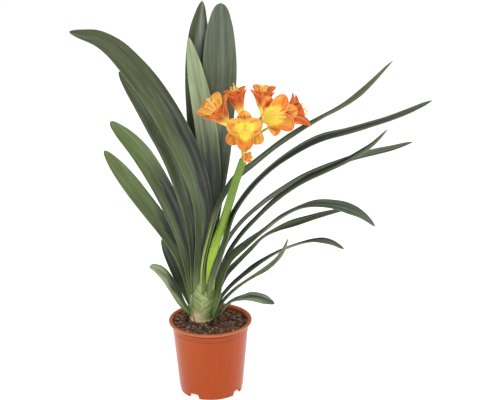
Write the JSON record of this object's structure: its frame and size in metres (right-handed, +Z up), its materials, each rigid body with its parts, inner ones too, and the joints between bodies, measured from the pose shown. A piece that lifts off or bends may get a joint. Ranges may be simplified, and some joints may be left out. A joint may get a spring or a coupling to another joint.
{
  "type": "potted clivia plant",
  "caption": "Flowering clivia with strap leaves fanned out in two ranks and an umbel of orange trumpet flowers, in a round tapered plastic nursery pot filled with soil.",
  "frame": {"origin": "centre of the flat pad in the middle of the pot's underside, on the plane it stands on", "axes": "+Z up; -Y is the front, the side that the broad faces of the left-hand leaves look towards; +X to the right, the side that the flower stalk leans to"},
  "size_m": [0.543, 0.1426, 0.617],
  "materials": {
    "pot": "satin",
    "soil": "matte",
    "sheath": "satin",
    "leaf": "satin",
    "stalk": "satin",
    "petal": "matte",
    "stamen": "matte"
  },
  "bodies": {
    "root": {"pot": "pot", "potting_soil": "soil", "leaf_base_shaft": "sheath", "flower_stalk": "stalk", "leaf_left_1": "leaf", "leaf_left_2": "leaf", "leaf_left_3": "leaf", "leaf_left_4": "leaf", "leaf_left_5": "leaf", "leaf_left_6": "leaf", "leaf_centre_1": "leaf", "leaf_centre_2": "leaf", "leaf_centre_3": "leaf", "leaf_right_1": "leaf", "leaf_right_2": "leaf", "leaf_right_3": "leaf", "leaf_right_4": "leaf", "leaf_right_5": "leaf", "leaf_right_6": "leaf", "leaf_right_7": "leaf", "leaf_right_8": "leaf", "leaf_right_9": "leaf", "flower_1": "petal", "flower_2": "petal", "flower_3": "petal", "flower_4": "petal", "flower_5": "petal", "flower_6": "petal", "flower_7": "petal", "stamens_1": "stamen", "stamens_2": "stamen", "stamens_3": "stamen", "stamens_4": "stamen", "stamens_5": "stamen", "stamens_6": "stamen"}
  },
  "joints": []
}
